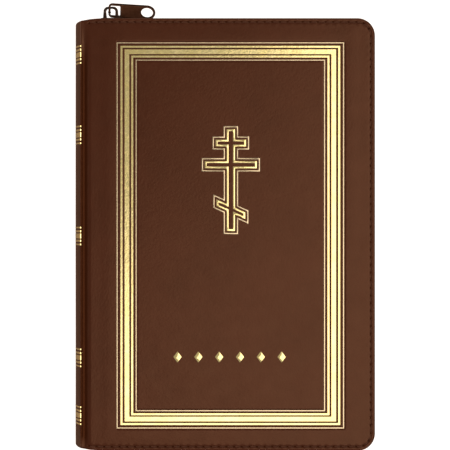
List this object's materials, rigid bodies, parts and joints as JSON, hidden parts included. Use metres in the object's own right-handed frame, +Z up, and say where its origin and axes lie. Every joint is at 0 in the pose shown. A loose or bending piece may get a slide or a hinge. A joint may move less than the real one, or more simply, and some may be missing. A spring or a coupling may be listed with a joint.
{
  "type": "zip-up leather bible",
  "caption": "Closed book in a flexible stitched leather case with a zip round its open edges; the cover opens at the middle of the pages and the slider and pull tab move.",
  "frame": {"origin": "centre of the back cover's outer face, which the closed book rests on", "axes": "+X from spine to fore-edge, +Y from tail to head, +Z up through the thickness to the front cover"},
  "size_m": [0.1464, 0.2188, 0.0361],
  "materials": {
    "leather": "mottled brown, smooth, soft satin",
    "board": "plain grey board",
    "lining": "matte brown lining",
    "endpaper": "matte cream",
    "thread": "waxed brown thread",
    "page_paper": "thin matte bible paper",
    "mull": "open gauze",
    "band_cloth": "striped woven band",
    "zip_tape": "woven brown tape",
    "zip_coil": "brown nylon coil",
    "zip_metal": "dark bronze paint, satin",
    "gold_foil": "hot-stamped gold foil, soft shine"
  },
  "bodies": {
    "back_case": {"back_cover_leather": "leather", "back_joint_leather": "leather", "back_board": "board", "back_lining": "lining", "back_flyleaf": "endpaper", "back_stitching": "thread", "back_zip_tape": "zip_tape", "back_zip_coil": "zip_coil", "back_zip_stops": "zip_metal", "pages_6": "page_paper", "spine_mull": "mull", "headband": "band_cloth", "tailband": "band_cloth"},
    "spine": {"spine_leather": "leather", "spine_stiffener": "board", "spine_foil_bands": "gold_foil"},
    "front_case": {"front_cover_leather": "leather", "front_joint_leather": "leather", "front_board": "board", "front_lining": "lining", "front_flyleaf": "endpaper", "front_stitching": "thread", "front_zip_tape": "zip_tape", "front_zip_coil": "zip_coil", "front_zip_stops": "zip_metal", "pages_1": "page_paper", "foil_frame": "gold_foil", "foil_cross": "gold_foil", "foil_ornaments": "gold_foil"},
    "section_2": {"pages_2": "page_paper"},
    "section_3": {"pages_3": "page_paper"},
    "section_4": {"pages_4": "page_paper"},
    "section_5": {"pages_5": "page_paper"},
    "slider": {"slider_body": "zip_metal", "slider_crown": "zip_metal"},
    "pull": {"pull_tab": "zip_metal"}
  },
  "joints": [
    {"name": "back_joint", "type": "hinge", "parent": "back_case", "child": "spine", "pos_m": [-0.0705, 0, 0.002], "axis": [0, -1, 0], "range_deg": [0, 90], "deforming": ["back_joint_leather", "spine_mull", "headband", "tailband"]},
    {"name": "front_joint", "type": "hinge", "parent": "spine", "child": "front_case", "pos_m": [-0.0705, 0, 0.034], "axis": [0, -1, 0], "range_deg": [0, 90], "deforming": ["front_joint_leather"]},
    {"name": "section_2_shift", "type": "slide", "parent": "front_case", "child": "section_2", "axis": [-1, 0, 0], "range_m": [0, 0.0083]},
    {"name": "section_3_shift", "type": "slide", "parent": "front_case", "child": "section_3", "axis": [-1, 0, 0], "range_m": [0, 0.0166]},
    {"name": "section_4_shift", "type": "slide", "parent": "back_case", "child": "section_4", "axis": [-1, 0, 0], "range_m": [0, 0.0166]},
    {"name": "section_5_shift", "type": "slide", "parent": "back_case", "child": "section_5", "axis": [-1, 0, 0], "range_m": [0, 0.0083]},
    {"name": "slider_travel", "type": "slide", "parent": "back_case", "child": "slider", "axis": [1, 0, 0], "range_m": [0, 0.1]},
    {"name": "tab_swing", "type": "hinge", "parent": "slider", "child": "pull", "pos_m": [-0.0569, 0.1094, 0.018], "axis": [0, 0, 1], "range_deg": [0, 145]}
  ],
  "couplings": [
    {"joint": "front_joint", "follows": "back_joint", "ratio": 1},
    {"joint": "section_2_shift", "follows": "back_joint", "m_per_rad": 0.005252},
    {"joint": "section_3_shift", "follows": "back_joint", "m_per_rad": 0.010504},
    {"joint": "section_4_shift", "follows": "back_joint", "m_per_rad": 0.010504},
    {"joint": "section_5_shift", "follows": "back_joint", "m_per_rad": 0.005252}
  ]
}
